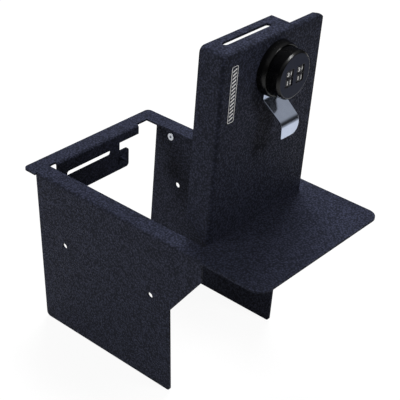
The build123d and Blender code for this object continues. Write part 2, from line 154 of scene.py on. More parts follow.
class Part(Enum):
    """Moving groups of the safe, by the name of the body that carries them."""

    CONSOLE = "console"
    LID = "lid"
    KNOB = "knob"
    WHEEL_UPPER_LEFT = "wheel_upper_left"
    WHEEL_UPPER_RIGHT = "wheel_upper_right"
    WHEEL_LOWER_LEFT = "wheel_lower_left"
    WHEEL_LOWER_RIGHT = "wheel_lower_right"


# Finishes


@dataclass(frozen=True)
class Finish:
    """A surface as its maker would name it."""

    name: str
    slot: str

    def shade(self, tree: bpy.types.NodeTree) -> bpy.types.Node:
        """Add the surface's shader to a tree and return it."""
        raise NotImplementedError

    def material(self) -> bpy.types.Material:
        """Build the material once and hand back the same one afterwards.

        Returns:
            The material with its nodes.
        """
        found = bpy.data.materials.get(self.name)
        if found is not None:
            return found
        made = bpy.data.materials.new(self.name)
        made.use_nodes = True
        tree = made.node_tree
        tree.nodes.clear()
        shader = self.shade(tree)
        add_node(tree, "ShaderNodeOutputMaterial", links={"Surface": shader.outputs[0]})
        return made


@dataclass(frozen=True)
class TexturedPowderCoat(Finish):
    """Epoxy powder baked with a coarse texture: blue-black pebbles, with painted shade in the gaps
    between them.

    The real pebbles are about 1.6 mm across and are drawn at that size. Finer grit lies over
    them, and a slower swell of some 7 mm makes the coat look mottled from a step away. The
    dome's top and foot are distances inside a pebble, as shares of its size. The grit and the
    swell are weighed against the dome's height of 1, and the crest colour, a painted highlight
    on the pebble tops, comes in between the two heights that are named for it.
    """

    gap_shade_colour: str = "#1b1d26"
    crest_highlight_colour: str = "#323546"
    pebble: float = 1.6
    pebble_blend: float = 0.6
    dome_top: float = 0.05
    dome_foot: float = 0.7
    grit: float = 0.7
    grit_share: float = 0.9
    swell: float = 7.0
    swell_share: float = 0.55
    crest_from: float = 0.85
    crest_full: float = 1.65
    relief: float = 0.3
    roughness: float = 0.55
    gap_dulling: float = 0.2
    crest_polish: float = 0.05
    shine: float = 0.08

    def shade(self, tree: bpy.types.NodeTree) -> bpy.types.Node:
        """Pebbled bump, colour with a painted highlight on the crests and painted shade in the
        gaps, and satin gloss that dulls in gaps.

        Args:
            tree: The material's tree.

        Returns:
            The principled shader.
        """
        place = add_node(tree, "ShaderNodeTexCoord")
        here = {"Vector": place.outputs["Object"]}
        pebbles = add_node(
            tree,
            "ShaderNodeTexVoronoi",
            {
                "feature": "SMOOTH_F1",
                "Scale": 1 / (self.pebble * MM),
                "Smoothness": self.pebble_blend,
            },
            here,
        )
        grit = add_node(
            tree,
            "ShaderNodeTexNoise",
            {"Scale": 1 / (self.grit * CELL_OVER_GRAIN * MM), "Detail": 3.0, "Roughness": 0.6},
            here,
        )
        swell = add_node(
            tree, "ShaderNodeTexNoise", {"Scale": 1 / (self.swell * MM), "Detail": 2.0}, here
        )
        dome = add_node(
            tree,
            "ShaderNodeMapRange",
            {"From Min": self.dome_top, "From Max": self.dome_foot, "To Min": 1.0, "To Max": 0.0},
            {"Value": pebbles.outputs["Distance"]},
        )
        height = add_node(
            tree,
            "ShaderNodeMath",
            {"operation": "MULTIPLY_ADD", "#1": self.grit_share},
            {"#0": grit.outputs["Fac"], "#2": dome.outputs[0]},
        )
        mottle = add_node(
            tree,
            "ShaderNodeMath",
            {"operation": "MULTIPLY_ADD", "#1": self.swell_share},
            {"#0": swell.outputs["Fac"], "#2": height.outputs[0]},
        )
        crest = add_node(
            tree,
            "ShaderNodeMapRange",
            {"From Min": self.crest_from, "From Max": self.crest_full},
            {"Value": mottle.outputs[0]},
        )
        # Painted highlight on the pebble crests and painted shade in the gaps, with random mottle
        # from the swell mixed in.
        colour = add_node(
            tree,
            "ShaderNodeMix",
            {
                "data_type": "RGBA",
                MIX_COLOUR_LOW: to_linear(self.gap_shade_colour),
                MIX_COLOUR_HIGH: to_linear(self.crest_highlight_colour),
            },
            {MIX_SHARE: crest.outputs[0]},
        )
        gloss = add_node(
            tree,
            "ShaderNodeMapRange",
            {
                "To Min": self.roughness + self.gap_dulling,
                "To Max": self.roughness - self.crest_polish,
            },
            {"Value": crest.outputs[0]},
        )
        bump = add_node(
            tree,
            "ShaderNodeBump",
            {"Strength": 1.0, "Distance": self.relief * MM},
            {"Height": height.outputs[0]},
        )
        return add_node(
            tree,
            "ShaderNodeBsdfPrincipled",
            {"IOR": 1.5, "Specular IOR Level": self.shine},
            {
                "Base Color": colour.outputs[MIX_COLOUR_OUT],
                "Roughness": gloss.outputs[0],
                "Normal": bump.outputs[0],
            },
        )


@dataclass(frozen=True)
class SmoothLacquer(Finish):
    """Stoved black lacquer on die-cast metal: even satin gloss with a slight orange peel.

    The rub marks come in between the two levels of their noise that are named for them, and
    the gloss runs from polished to dulled between two more.
    """

    colour: str = "#050506"
    worn_colour: str = "#0f0f12"
    peel: float = 0.9
    relief: float = 0.008
    rub: float = 9.0
    rub_from: float = 0.52
    rub_full: float = 0.8
    rub_share: float = 0.4
    roughness: float = 0.26
    gloss_from: float = 0.3
    gloss_full: float = 0.7
    polish: float = 0.05
    dulling: float = 0.07
    shine: float = 0.3

    def shade(self, tree: bpy.types.NodeTree) -> bpy.types.Node:
        """Near-black satin with faint rub marks where fingers turn it.

        Args:
            tree: The material's tree.

        Returns:
            The principled shader.
        """
        place = add_node(tree, "ShaderNodeTexCoord")
        here = {"Vector": place.outputs["Object"]}
        peel = add_node(
            tree, "ShaderNodeTexNoise", {"Scale": 1 / (self.peel * MM), "Detail": 2.0}, here
        )
        rub = add_node(
            tree,
            "ShaderNodeTexNoise",
            {"Scale": 1 / (self.rub * MM), "Detail": 5.0, "Roughness": 0.65},
            here,
        )
        worn = add_node(
            tree,
            "ShaderNodeMapRange",
            {"From Min": self.rub_from, "From Max": self.rub_full, "To Max": self.rub_share},
            {"Value": rub.outputs["Fac"]},
        )
        colour = add_node(
            tree,
            "ShaderNodeMix",
            {
                "data_type": "RGBA",
                MIX_COLOUR_LOW: to_linear(self.colour),
                MIX_COLOUR_HIGH: to_linear(self.worn_colour),
            },
            {MIX_SHARE: worn.outputs[0]},
        )
        gloss = add_node(
            tree,
            "ShaderNodeMapRange",
            {
                "From Min": self.gloss_from,
                "From Max": self.gloss_full,
                "To Min": self.roughness - self.polish,
                "To Max": self.roughness + self.dulling,
            },
            {"Value": rub.outputs["Fac"]},
        )
        bump = add_node(
            tree,
            "ShaderNodeBump",
            {"Strength": 1.0, "Distance": self.relief * MM},
            {"Height": peel.outputs["Fac"]},
        )
        return add_node(
            tree,
            "ShaderNodeBsdfPrincipled",
            {"IOR": 1.5, "Specular IOR Level": self.shine},
            {
                "Base Color": colour.outputs[MIX_COLOUR_OUT],
                "Roughness": gloss.outputs[0],
                "Normal": bump.outputs[0],
            },
        )


@dataclass(frozen=True)
class PlatedMetal(Finish):
    """Plated steel: a metal colour that clouds slightly, with fine lines along one direction.

    The gloss runs from a polished to a dulled share of the roughness between the two levels
    of the lines' noise that are named for it.
    """

    colour: str = "#c9ccd1"
    cloud_colour: str = "#b3b7bf"
    cloud: float = 6.0
    roughness: float = 0.22
    lines: float = 0.35
    stretch: Place = (1.0, 1.0, 12.0)
    gloss_from: float = 0.25
    gloss_full: float = 0.75
    polish: float = 0.8
    dulling: float = 1.3
    relief: float = 0.004
    relief_share: float = 0.6

    def shade(self, tree: bpy.types.NodeTree) -> bpy.types.Node:
        """Metallic base with clouded colour, and rubbing lines in gloss and bump.

        Args:
            tree: The material's tree.

        Returns:
            The principled shader.
        """
        place = add_node(tree, "ShaderNodeTexCoord")
        here = {"Vector": place.outputs["Object"]}
        cloud = add_node(
            tree, "ShaderNodeTexNoise", {"Scale": 1 / (self.cloud * MM), "Detail": 4.0}, here
        )
        along = add_node(
            tree,
            "ShaderNodeMapping",
            {"Scale": tuple(1 / (self.lines * MM * share) for share in self.stretch)},
            here,
        )
        rubbing = add_node(
            tree, "ShaderNodeTexNoise", {"Scale": 1.0, "Detail": 3.0}, {"Vector": along.outputs[0]}
        )
        colour = add_node(
            tree,
            "ShaderNodeMix",
            {
                "data_type": "RGBA",
                MIX_COLOUR_LOW: to_linear(self.colour),
                MIX_COLOUR_HIGH: to_linear(self.cloud_colour),
            },
            {MIX_SHARE: cloud.outputs["Fac"]},
        )
        gloss = add_node(
            tree,
            "ShaderNodeMapRange",
            {
                "From Min": self.gloss_from,
                "From Max": self.gloss_full,
                "To Min": self.roughness * self.polish,
                "To Max": self.roughness * self.dulling,
            },
            {"Value": rubbing.outputs["Fac"]},
        )
        bump = add_node(
            tree,
            "ShaderNodeBump",
            {"Strength": self.relief_share, "Distance": self.relief * MM},
            {"Height": rubbing.outputs["Fac"]},
        )
        return add_node(
            tree,
            "ShaderNodeBsdfPrincipled",
            {"Metallic": 1.0},
            {
                "Base Color": colour.outputs[MIX_COLOUR_OUT],
                "Roughness": gloss.outputs[0],
                "Normal": bump.outputs[0],
            },
        )


@dataclass(frozen=True)
class PrintedInk(Finish):
    """Screen-printed or filled white paint: matt, a little uneven in cover.

    The thin patches come in between the two levels of their noise that are named for them.
    """

    colour: str = "#e8e8e6"
    thin_colour: str = "#b9bac0"
    patch: float = 0.8
    thin_from: float = 0.45
    thin_full: float = 0.75
    thin_share: float = 0.7
    roughness: float = 0.6

    def shade(self, tree: bpy.types.NodeTree) -> bpy.types.Node:
        """Matt white that thins in small patches.

        Args:
            tree: The material's tree.

        Returns:
            The principled shader.
        """
        place = add_node(tree, "ShaderNodeTexCoord")
        cover = add_node(
            tree,
            "ShaderNodeTexNoise",
            {"Scale": 1 / (self.patch * MM), "Detail": 3.0},
            {"Vector": place.outputs["Object"]},
        )
        thin = add_node(
            tree,
            "ShaderNodeMapRange",
            {"From Min": self.thin_from, "From Max": self.thin_full, "To Max": self.thin_share},
            {"Value": cover.outputs["Fac"]},
        )
        colour = add_node(
            tree,
            "ShaderNodeMix",
            {
                "data_type": "RGBA",
                MIX_COLOUR_LOW: to_linear(self.colour),
                MIX_COLOUR_HIGH: to_linear(self.thin_colour),
            },
            {MIX_SHARE: thin.outputs[0]},
        )
        return add_node(
            tree,
            "ShaderNodeBsdfPrincipled",
            {"Roughness": self.roughness, "IOR": 1.45},
            {"Base Color": colour.outputs[MIX_COLOUR_OUT]},
        )


# Coarse black powder: blue-black body with a painted highlight on the pebble crests and painted
# shade in the gaps.
BODY_COAT = TexturedPowderCoat("powder_coat_coarse_black", "black_powder_coat")
# Thin dip coat on the rolled hinge strip: blacker and smoother than the powder.
HINGE_COAT = SmoothLacquer("dip_coat_black", "black_steel", roughness=0.45, relief=0.02)
# Stoved lacquer on the lock castings: deep black with a soft highlight.
LOCK_LACQUER = SmoothLacquer("lacquer_satin_black", "lock_black")
# Fine-textured lacquer on the knob's face: lighter and blue as a painted reflection of the bright
# room, with no clear reflection of its own.
FACE_REFLECTION_LACQUER = SmoothLacquer(
    "lacquer_fine_texture_painted_reflection",
    "lock_black",
    colour="#1e2231",
    worn_colour="#252a3a",
    relief=0.02,
    roughness=0.45,
    shine=0.06,
)
# Moulded acetal wheels: black with a dull sheen.
WHEEL_ACETAL = SmoothLacquer(
    "acetal_black", "wheel_black", colour="#1a1b22", worn_colour="#22232b", roughness=0.42
)
# Nickel-bright plating on the pull: close to a mirror, with fine lines along its length.
PULL_PLATING = PlatedMetal(
    "nickel_plate_bright",
    "bright_chrome",
    colour="#bac4d8",
    cloud_colour="#acb6ca",
    roughness=0.12,
    relief=0.002,
)
# Zinc plating on fasteners and cam: greyer and duller than the pull.
ZINC_PLATING = PlatedMetal("zinc_plate_clear", "zinc_plate", roughness=0.3)
# Drawn steel of the hinge pin, oiled: dark grey with darker clouds.
PIN_STEEL = PlatedMetal(
    "steel_drawn_oiled", "zinc_plate", colour="#55565b", cloud_colour="#3b3c41", roughness=0.4
)
# Bare zinc casting inside the knob: dull grey with no direction.
ZINC_CASTING = PlatedMetal(
    "zinc_casting_bare",
    "cast_zinc",
    colour="#9b9da2",
    cloud_colour="#85878d",
    roughness=0.45,
    stretch=(1.0, 1.0, 1.0),
)
# White paint filled into the wheels' numbers.
NUMBER_PAINT = PrintedInk("number_paint_white", "wheel_black")
# White ink of the plain panel on the lid.
PANEL_INK = PrintedInk("screen_ink_white", "black_powder_coat", colour="#f0f0ee")


# Shared making


def placed(name: str, data: bpy.types.ID) -> bpy.types.Object:
    """Make an object from a mesh, curve, lamp or camera, and link it into the scene.

    Args:
        name: The object's name.
        data: What it shows.

    Returns:
        The new object.
    """
    made = bpy.data.objects.new(name, data)
    bpy.context.scene.collection.objects.link(made)
    return made


def plain_mesh(bench: bpy.types.Object) -> bpy.types.Mesh:
    """Keep only the evaluated result of an object, and remove the object.

    Args:
        bench: The object with its modifiers, or a curve.

    Returns:
        A plain mesh.
    """
    depsgraph = bpy.context.evaluated_depsgraph_get()
    result = bpy.data.meshes.new_from_object(bench.evaluated_get(depsgraph), depsgraph=depsgraph)
    bpy.data.objects.remove(bench)
    return result


def finished(
    name: str, mesh: bpy.types.Mesh, finish: Finish, part: Part, nodes: tuple[str, ...] = ()
) -> bpy.types.Object:
    """Put a finished mesh into the scene and hand it to the body that carries it.

    Args:
        name: The piece's name.
        mesh: Its mesh, already in place.
        finish: The surface it gets.
        part: The moving group it rides on.
        nodes: The nodes that it stands for.

    Returns:
        The new object.
    """
    mesh.name = name
    piece = placed(name, mesh)
    mesh.materials.clear()
    mesh.materials.append(finish.material())
    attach(piece, part.value)
    if nodes:
        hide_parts(*nodes)
    LOG.info("%s: %d faces on %s", name, len(mesh.polygons), part.value)
    return piece


def with_modifiers(
    mesh: bpy.types.Mesh, add: Callable[[bpy.types.Object], None]
) -> bpy.types.Mesh:
    """Run modifiers on a mesh and keep only their result.

    Args:
        mesh: The mesh to work on.
        add: Adds the modifiers to the object that it is given.

    Returns:
        A plain mesh.
    """
    bench = placed("bench", mesh)
    add(bench)
    return plain_mesh(bench)


def crease_by_angle(work: bmesh.types.BMesh, degrees: float) -> None:
    """Shade smooth, and mark as sharp each edge that turns more than an angle.

    Args:
        work: The mesh being edited.
        degrees: The angle past which an edge stays sharp.
    """
    for face in work.faces:
        face.smooth = True
    limit = math.radians(degrees)
    for edge in work.edges:
        edge.smooth = len(edge.link_faces) == 2 and edge.calc_face_angle(0.0) < limit


def worked_mesh(node: bpy.types.Object, soften: float) -> bpy.types.Mesh:
    """Copy a node's triangles, merge them into faces and round the edges a little.

    Args:
        node: The node to copy.
        soften: Width of the rounded edges, in millimetres.

    Returns:
        The worked mesh.
    """
    mesh = node.data.copy()
    work = bmesh.new()
    work.from_mesh(mesh)
    bmesh.ops.remove_doubles(work, verts=work.verts, dist=SOLID_MERGE)
    bmesh.ops.dissolve_limit(
        work, angle_limit=math.radians(FLAT_WITHIN), verts=work.verts, edges=work.edges
    )
    crease_by_angle(work, SOLID_SMOOTH_BELOW)
    work.to_mesh(mesh)
    work.free()

    def add(bench: bpy.types.Object) -> None:
        """Round the sharp edges and keep flat faces flat."""
        bevel = bench.modifiers.new("soften", "BEVEL")
        bevel.width = soften * MM
        bevel.segments = SOFTEN_STEPS
        bevel.limit_method = "ANGLE"
        bevel.angle_limit = math.radians(SOFTEN_ABOVE)
        bevel.use_clamp_overlap = True
        weighted = bench.modifiers.new("weighted", "WEIGHTED_NORMAL")
        weighted.keep_sharp = True

    return with_modifiers(mesh, add)


@dataclass
class LidFace:
    """Frame of the lid's outer face: X across, Y up the lid, Z out of it, from the lock's axis."""

    centre: Vector
    out: Vector

    @property
    def matrix(self) -> Matrix:
        """Matrix from the lid's own frame to the shared one, in metres."""
        across = Vector((0, 1, 0))
        up = self.out.cross(across)
        turned = Matrix((across, up, self.out)).transposed().to_4x4()
        return Matrix.Translation(self.centre) @ turned


@dataclass
class RepeatedRow:
    """Geometry Nodes tree that repeats an item along a line."""

    name: str = "repeated_row"
    tree: bpy.types.NodeTree = field(init=False)
    identifiers: dict[str, str] = field(init=False, default_factory=dict)

    def __post_init__(self) -> None:
        """Build the tree with its named inputs."""
        self.tree = bpy.data.node_groups.new(self.name, "GeometryNodeTree")
        face = self.tree.interface
        for label, kind in (
            ("Item", "NodeSocketObject"),
            ("Count", "NodeSocketInt"),
            ("Start", "NodeSocketVector"),
            ("Step", "NodeSocketVector"),
            ("Surface", "NodeSocketMaterial"),
        ):
            socket = face.new_socket(name=label, in_out="INPUT", socket_type=kind)
            self.identifiers[label] = socket.identifier
        face.new_socket(name="Geometry", in_out="OUTPUT", socket_type="NodeSocketGeometry")
        given = add_node(self.tree, "NodeGroupInput")
        line = add_node(
            self.tree,
            "GeometryNodeMeshLine",
            {"mode": "OFFSET"},
            {
                "Count": given.outputs["Count"],
                "Start Location": given.outputs["Start"],
                "Offset": given.outputs["Step"],
            },
        )
        item = add_node(
            self.tree, "GeometryNodeObjectInfo", links={"Object": given.outputs["Item"]}
        )
        copies = add_node(
            self.tree,
            "GeometryNodeInstanceOnPoints",
            links={"Points": line.outputs[0], "Instance": item.outputs["Geometry"]},
        )
        real = add_node(
            self.tree, "GeometryNodeRealizeInstances", links={"Geometry": copies.outputs[0]}
        )
        coated = add_node(
            self.tree,
            "GeometryNodeSetMaterial",
            links={"Geometry": real.outputs[0], "Material": given.outputs["Surface"]},
        )
        add_node(self.tree, "NodeGroupOutput", links={"Geometry": coated.outputs[0]})

    def run(
        self,
        item: bpy.types.Mesh,
        count: int,
        finish: Finish,
        start: Place,
        step: Place,
    ) -> bpy.types.Mesh:
        """Repeat an item and return the result as one plain mesh.

        Args:
            item: The mesh to repeat.
            count: How many copies.
            finish: The surface of every copy.
            start: Place of the first copy, in millimetres.
            step: Move from one copy to the next, in millimetres.

        Returns:
            All the copies in one mesh.
        """
        pattern = bpy.data.objects.new("pattern", item)
        values = {
            "Item": pattern,
            "Count": count,
            "Start": tuple(part * MM for part in start),
            "Step": tuple(part * MM for part in step),
            "Surface": finish.material(),
        }

        def add(bench: bpy.types.Object) -> None:
            """Set every named input before the first evaluation."""
            modifier = bench.modifiers.new("repeat", "NODES")
            modifier.node_group = self.tree
            for label, value in values.items():
                modifier[self.identifiers[label]] = value

        result = with_modifiers(bpy.data.meshes.new("repeat"), add)
        bpy.data.objects.remove(pattern)
        return result


def lathed(profile: list[Point], steps: int) -> bpy.types.Mesh:
    """Turn a profile of radius and height about Z, and close both of its ends.

    Args:
        profile: Radius and height of each corner, in millimetres.
        steps: Faces round the axis.

    Returns:
        The turned mesh, its faces pointing out.
    """
    work = bmesh.new()
    rings = []
    for radius, height in profile:
        ring = []
        for step in range(steps):
            angle = 2 * math.pi * step / steps
            place = (radius * math.cos(angle), radius * math.sin(angle), height)
            ring.append(work.verts.new(Vector(place) * MM))
        rings.append(ring)
    for low, high in zip(rings, rings[1:]):
        for step in range(steps):
            after = (step + 1) % steps
            work.faces.new((low[step], low[after], high[after], high[step]))
    work.faces.new(rings[0])
    work.faces.new(rings[-1])
    bmesh.ops.recalc_face_normals(work, faces=work.faces)
    crease_by_angle(work, LATHE_SMOOTH_BELOW)
    mesh = bpy.data.meshes.new("lathed")
    work.to_mesh(mesh)
    work.free()
    return mesh


def raised_outline(outlines: list[list[Point]], height: float) -> bpy.types.Mesh:
    """Raise a flat shape with optional holes into a thin closed solid.

    Args:
        outlines: The outer outline, then each hole, in millimetres.
        height: How far it is raised, in millimetres.

    Returns:
        The raised mesh, from Z 0 up.
    """
    curve = bpy.data.curves.new("outline", "CURVE")
    curve.dimensions = "2D"
    curve.fill_mode = "BOTH"
    for outline in outlines:
        spline = curve.splines.new("POLY")
        spline.points.add(len(outline) - 1)
        for point, (across, up) in zip(spline.points, outline):
            point.co = (across * MM, up * MM, 0, 1)
        spline.use_cyclic_u = True
    curve.extrude = height * MM / 2
    mesh = plain_mesh(placed("outline", curve))
    mesh.transform(Matrix.Translation((0, 0, height * MM / 2)))
    return closed_outwards(mesh)


def closed_outwards(mesh: bpy.types.Mesh) -> bpy.types.Mesh:
    """Merge doubled points and point every face outwards.

    Args:
        mesh: The mesh to mend.

    Returns:
        The same mesh.
    """
    work = bmesh.new()
    work.from_mesh(mesh)
    bmesh.ops.remove_doubles(work, verts=work.verts, dist=SEAM_MERGE)
    bmesh.ops.recalc_face_normals(work, faces=work.faces)
    work.to_mesh(mesh)
    work.free()
    return mesh


def rounded_rectangle(width: float, height: float, radius: float, steps: int) -> list[Point]:
    """Outline of a rectangle with rounded corners, anticlockwise about its middle.

    Args:
        width: Size across.
        height: Size up.
        radius: Corner radius.
        steps: Faces in each corner.

    Returns:
        The outline's points.
    """
    points = []
    for turn, (side, rise) in enumerate(((1, 1), (-1, 1), (-1, -1), (1, -1))):
        for step in range(steps + 1):
            angle = math.pi / 2 * (turn + step / steps)
            across = side * (width / 2 - radius) + radius * math.cos(angle)
            up = rise * (height / 2 - radius) + radius * math.sin(angle)
            points.append((across, up))
    return points


def joint_named(joints: list[dict], name: str) -> dict:
    """The joint with a name."""
    return next(joint for joint in joints if joint["name"] == name)


# Sub-assemblies


@dataclass
class SubAssembly:
    """What every sub-assembly needs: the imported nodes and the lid's frame."""

    nodes: dict[str, bpy.types.Object]
    face: LidFace
    repeat: RepeatedRow

    def work_up(self, node: str, finish: Finish, part: Part, soften: float) -> bpy.types.Object:
        """Replace a node by its worked copy.

        Args:
            node: The node to stand for.
            finish: The surface of the copy.
            part: The moving group.
            soften: Width of its rounded edges, in millimetres.

        Returns:
            The new object.
        """
        mesh = worked_mesh(self.nodes[node], soften)
        return finished(f"{node}_worked", mesh, finish, part, (node,))


@dataclass
class ConsoleShell(SubAssembly):
    """Folded body with its rest pins and the blind rivet in the far wall."""

    edge_softening: float = 0.35
    pin_softening: float = 0.2

    def build(self) -> None:
        """Work up the sheet and the small fasteners on it."""
        self.work_up("console_body", BODY_COAT, Part.CONSOLE, self.edge_softening)
        self.work_up("lid_rest_pins", BODY_COAT, Part.CONSOLE, self.pin_softening)
        self.work_up("far_wall_rivet", ZINC_PLATING, Part.CONSOLE, self.pin_softening)


@dataclass
class ContinuousHinge(SubAssembly):
    """Rolled leaves on their pin, with the weld spots that hold each leaf to its sheet.

    The weld's profile gives each corner's share of the radius, and its height, from the dished
    middle out to the foot that is sunk in the leaf.
    """

    leaf_thickness: float = 1.0
    weld_count: int = 7
    weld_pitch: float = 15.5
    weld_from_edge: float = 5.0
    weld_radius: float = 2.2
    weld_steps: int = 20
    weld_profile: tuple[Point, ...] = (
        (0.2, -0.02),
        (0.8, 0.02),
        (1.0, 0.08),
        (1.15, -0.05),
        (1.15, -0.25),
    )
    edge_softening: float = 0.12

    def build(self) -> None:
        """Work up the leaves and pin, then add a row of weld spots to each leaf."""
        self.work_up("hinge_leaf_body", HINGE_COAT, Part.CONSOLE, self.edge_softening)
        self.work_up("hinge_leaf_lid", HINGE_COAT, Part.LID, self.edge_softening)
        self.work_up("hinge_pin", PIN_STEEL, Part.CONSOLE, self.edge_softening)
        self.weld_spots()

    def weld_spots(self) -> None:
        """Dished spots under the shelf leaf and inside the lid leaf."""
        row = self.weld_pitch * (self.weld_count - 1)
        for node, part in (("hinge_leaf_body", Part.CONSOLE), ("hinge_leaf_lid", Part.LID)):
            low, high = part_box(node)
            middle = (low.y + high.y) / 2 / MM
            spots = self.repeat.run(
                self.weld_spot(),
                self.weld_count,
                HINGE_COAT,
                start=(0, middle - row / 2, 0),
                step=(0, self.weld_pitch, 0),
            )
            if part is Part.CONSOLE:
                place = Vector((high.x, 0, high.z))
                place -= Vector((self.weld_from_edge, 0, self.leaf_thickness)) * MM
                turn = Matrix.Rotation(math.pi, 4, "Y")
            else:
                up = self.face.matrix.to_3x3() @ Vector((0, 1, 0))
                out = self.face.out
                top = Vector((high.x, 0, high.z)) - up * self.weld_from_edge * MM
                place = top - out * self.leaf_thickness * MM
                turn = Matrix((up, Vector((0, 1, 0)), -out)).transposed().to_4x4()
            spots.transform(Matrix.Translation(place) @ turn)
            finished(f"weld_spots_{part.value}", closed_outwards(spots), HINGE_COAT, part)

    def weld_spot(self) -> bpy.types.Mesh:
        """One shallow dished ring, as an electrode leaves it."""
        profile = [(self.weld_radius * share, height) for share, height in self.weld_profile]
        return lathed(profile, self.weld_steps)


@dataclass
class FoldedLid(SubAssembly):
    """Lid sheet with the plain printed panel near its folded side."""

    edge_softening: float = 0.35
    panel_across: float = -47.7
    panel_up: float = -6.2
    panel_width: float = 7.0
    panel_height: float = 45.5
    panel_line: float = 0.45
    panel_radius: float = 1.5
    panel_corner_steps: int = 6
    panel_foot: float = 0.01
    panel_lift: float = 0.06
    bar_count: int = 14
    bar_pitch: float = 3.0
    bar_width: float = 1.2
    bar_length: float = 4.2
    bar_slant: float = 0.84

    def build(self) -> None:
        """Work up the sheet and print the panel on it."""
        self.work_up("lid_shell", BODY_COAT, Part.LID, self.edge_softening)
        self.printed_panel()

    def printed_panel(self) -> None:
        """A thin rounded frame round a column of slanted bars, with no lettering."""
        outer, inner = (
            rounded_rectangle(
                self.panel_width - 2 * inset,
                self.panel_height - 2 * inset,
                self.panel_radius - inset,
                self.panel_corner_steps,
            )
            for inset in (0.0, self.panel_line)
        )
        rim = raised_outline([outer, inner[::-1]], self.panel_lift)
        across, up, slant = self.bar_length / 2, self.bar_width / 2, self.bar_slant
        bar = [
            (-across, -up - slant),
            (across, -up + slant),
            (across, up + slant),
            (-across, up - slant),
        ]
        column = self.bar_pitch * (self.bar_count - 1)
        bars = self.repeat.run(
            raised_outline([bar], self.panel_lift),
            self.bar_count,
            PANEL_INK,
            start=(0, -column / 2, 0),
            step=(0, self.bar_pitch, 0),
        )
        place = Matrix.Translation(
            Vector((self.panel_across, self.panel_up, self.panel_foot)) * MM
        )
        for name, mesh in (("panel_frame", rim), ("panel_bars", bars)):
            mesh.transform(self.face.matrix @ place)
            finished(name, mesh, PANEL_INK, Part.LID)


@dataclass
class LockSet(SubAssembly):
    """Lock housing, what clamps it, the turning knob and the cam behind the lid.

    The thread's flank is a share of its pitch, and it runs out over a share of a turn.
    """

    ring_softening: float = 0.5
    knob_softening: float = 0.35
    small_softening: float = 0.15
    knob_face_height: float = 17.9
    barrel_radius: float = 9.5
    barrel_flat: float = 8.0
    thread_pitch: float = 1.0
    thread_height: float = 0.16
    thread_root: float = 0.3
    thread_flank: float = 0.45
    thread_run_out: float = 0.25
    thread_on_flat: float = 0.01
    thread_steps: int = 36
    thread_start: float = -7.6
    thread_end: float = -12.9

    def build(self) -> None:
        """Work up every lock piece, cut the barrel's thread and paint a reflection on the knob's
        face.
        """
        self.work_up("lock_housing", LOCK_LACQUER, Part.LID, self.ring_softening)
        for node in ("lock_washer", "lock_nut"):
            self.work_up(node, ZINC_PLATING, Part.LID, self.small_softening)
        self.work_up("knob_base", ZINC_CASTING, Part.KNOB, self.small_softening)
        cap = self.work_up("knob_cap", LOCK_LACQUER, Part.KNOB, self.knob_softening)
        self.paint_face_reflection(cap)
        for node in ("dial_axle_left", "dial_axle_right", "cam", "cam_washer", "cam_screw"):
            self.work_up(node, ZINC_PLATING, Part.KNOB, self.small_softening)
        thread = self.barrel_thread()
        thread.transform(self.face.matrix)
        finished("barrel_thread", closed_outwards(thread), LOCK_LACQUER, Part.LID)

    def barrel_thread(self) -> bpy.types.Mesh:
        """One ridge wound round the barrel past the nut, cut away where the flats are.

        Returns:
            The ridge in the lid's frame.
        """
        work = bmesh.new()
        turns = (self.thread_start - self.thread_end) / self.thread_pitch
        count = int(turns * self.thread_steps)
        run_out = self.thread_run_out * self.thread_steps
        flank = self.thread_flank * self.thread_pitch
        rings = []
        for step in range(count + 1):
            angle = 2 * math.pi * step / self.thread_steps
            height = self.thread_start - self.thread_pitch * step / self.thread_steps
            rise = self.thread_height * min(1.0, step / run_out, (count - step) / run_out)
            flat = self.barrel_flat / max(abs(math.cos(angle)), LEAST_COSINE)
            crest = min(self.barrel_radius + rise, flat + self.thread_on_flat)
            root = min(self.barrel_radius, flat) - self.thread_root
            ring = []
            for radius, lift in ((root, flank), (crest, 0.0), (root, -flank)):
                corner = (radius * math.cos(angle), radius * math.sin(angle), height + lift)
                ring.append(work.verts.new(Vector(corner) * MM))
            rings.append(ring)
        for near, far in zip(rings, rings[1:]):
            for corner in range(len(near)):
                after = (corner + 1) % len(near)
                work.faces.new((near[corner], near[after], far[after], far[corner]))
        work.faces.new(rings[0])
        work.faces.new(rings[-1])
        mesh = bpy.data.meshes.new("thread")
        work.to_mesh(mesh)
        work.free()
        return mesh

    def paint_face_reflection(self, cap: bpy.types.Object) -> None:
        """Give the knob's flat face its own lacquer, lighter and blue as a painted reflection.

        Args:
            cap: The knob's cap.
        """
        # The face's lighter, bluer lacquer is a painted reflection of the bright room.
        cap.data.materials.append(FACE_REFLECTION_LACQUER.material())
        to_face = self.face.matrix.inverted()
        for polygon in cap.data.polygons:
            place = to_face @ polygon.center
            looks_out = polygon.normal.dot(self.face.out) > STRAIGHT_OUT
            if looks_out and place.z > self.knob_face_height * MM:
                polygon.material_index = 1


@dataclass
class FingerPull(SubAssembly):
    """Bright bent strip under the lock."""

    edge_softening: float = 0.3

    def build(self) -> None:
        """Work up the strip with soft edges."""
        self.work_up("finger_pull", PULL_PLATING, Part.LID, self.edge_softening)


